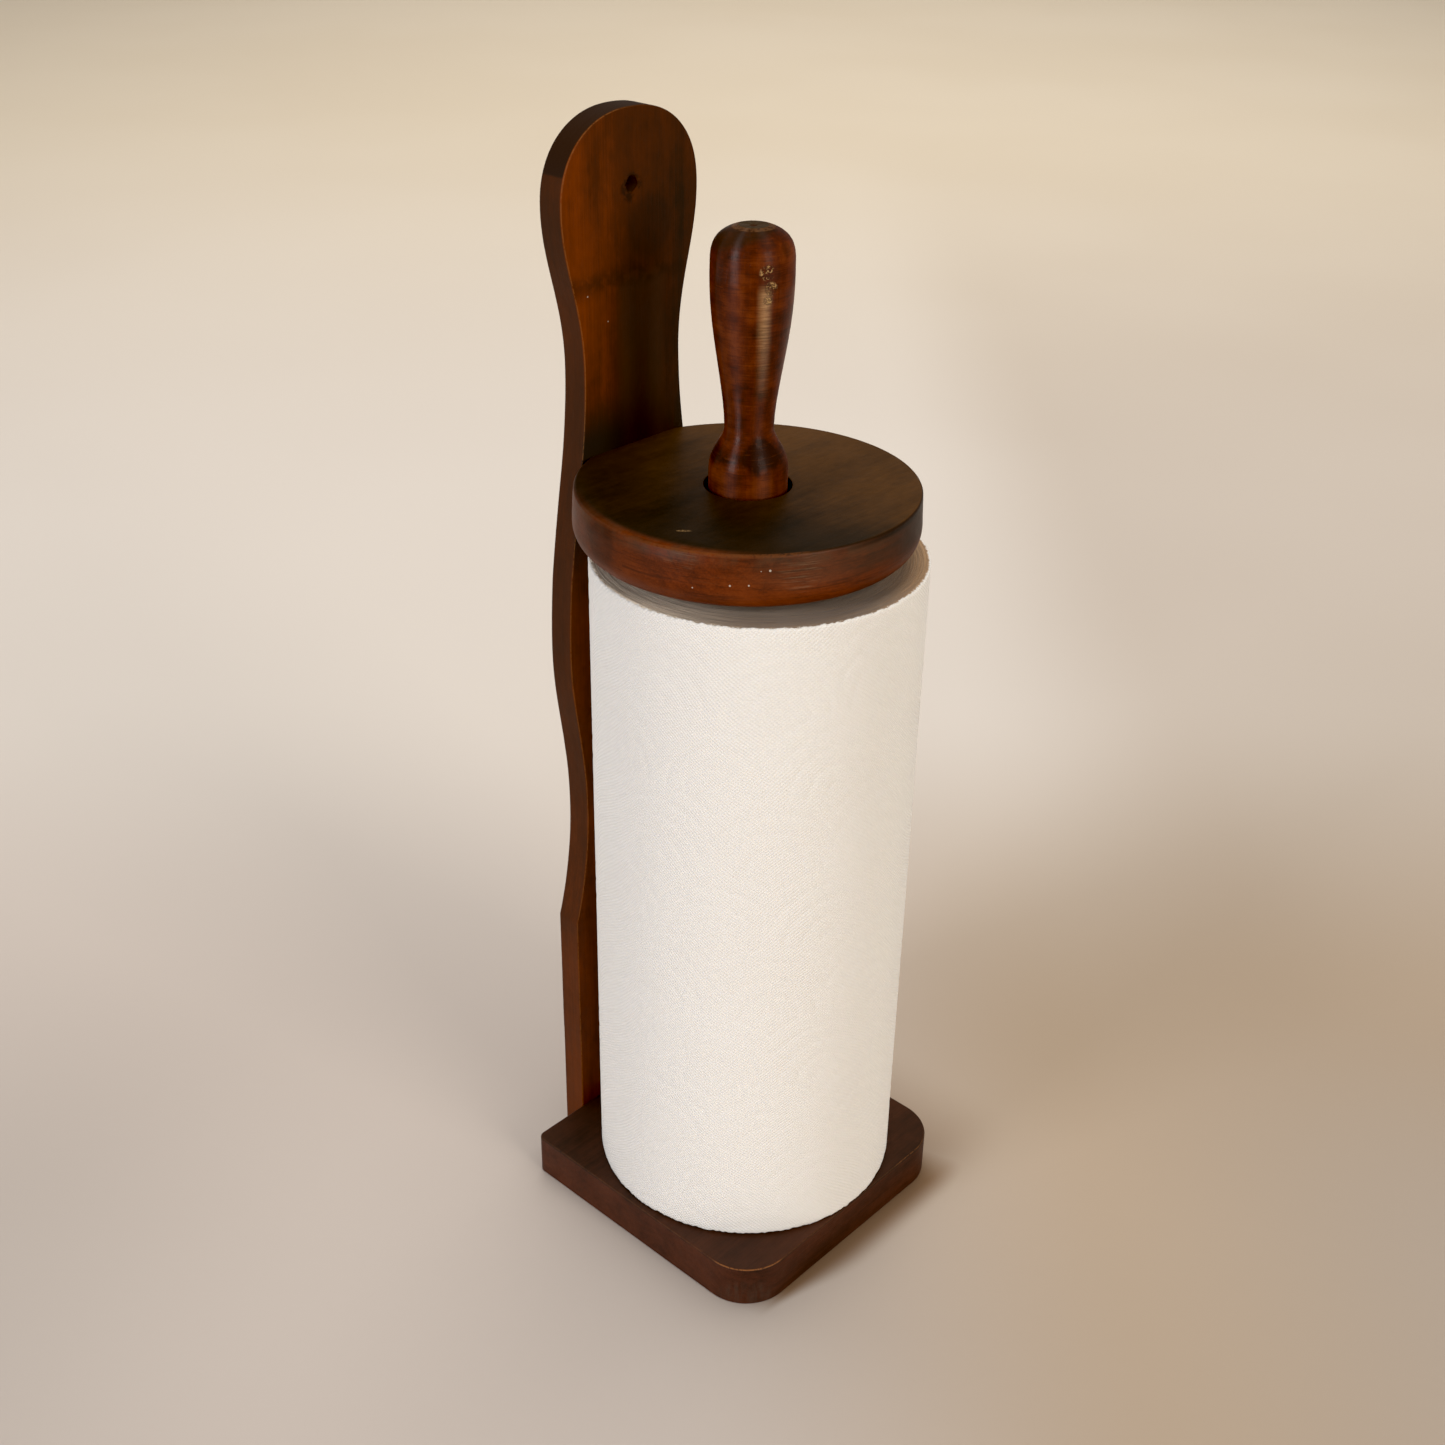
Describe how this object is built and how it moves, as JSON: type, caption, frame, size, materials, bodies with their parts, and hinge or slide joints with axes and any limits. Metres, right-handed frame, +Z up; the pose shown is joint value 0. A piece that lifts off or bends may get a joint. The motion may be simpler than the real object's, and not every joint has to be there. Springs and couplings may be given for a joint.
{
  "type": "paper towel holder",
  "caption": "Free-standing wooden paper towel holder with a shaped back board, a round top disc and a lift-out turned spindle, loaded with a roll.",
  "frame": {"origin": "on the floor, on the axis of the spindle and the top disc", "axes": "+Z up along the spindle, +Y towards the back board, +X to the right when facing the board"},
  "size_m": [0.1285, 0.138, 0.4478],
  "materials": {
    "stained_wood": "satin",
    "turned_wood": "gloss",
    "screw_brass": "satin",
    "cardboard": "matte",
    "paper_towel": "matte"
  },
  "bodies": {
    "stand": {"base_plank": "stained_wood", "back_board": "stained_wood", "top_disc": "stained_wood", "base_screws": "screw_brass", "disc_screws": "screw_brass"},
    "spindle": {"spindle": "turned_wood"},
    "roll": {"cardboard_core": "cardboard", "paper_roll": "paper_towel"}
  },
  "joints": [
    {"name": "spindle_lift", "type": "slide", "parent": "stand", "child": "spindle", "axis": [0, 0, 1], "range_m": [0, 0.33]},
    {"name": "roll_spin", "type": "hinge", "parent": "stand", "child": "roll", "pos_m": [0.0013, -0.0051, 0.1592], "axis": [0, 0, 1], "continuous": true}
  ]
}
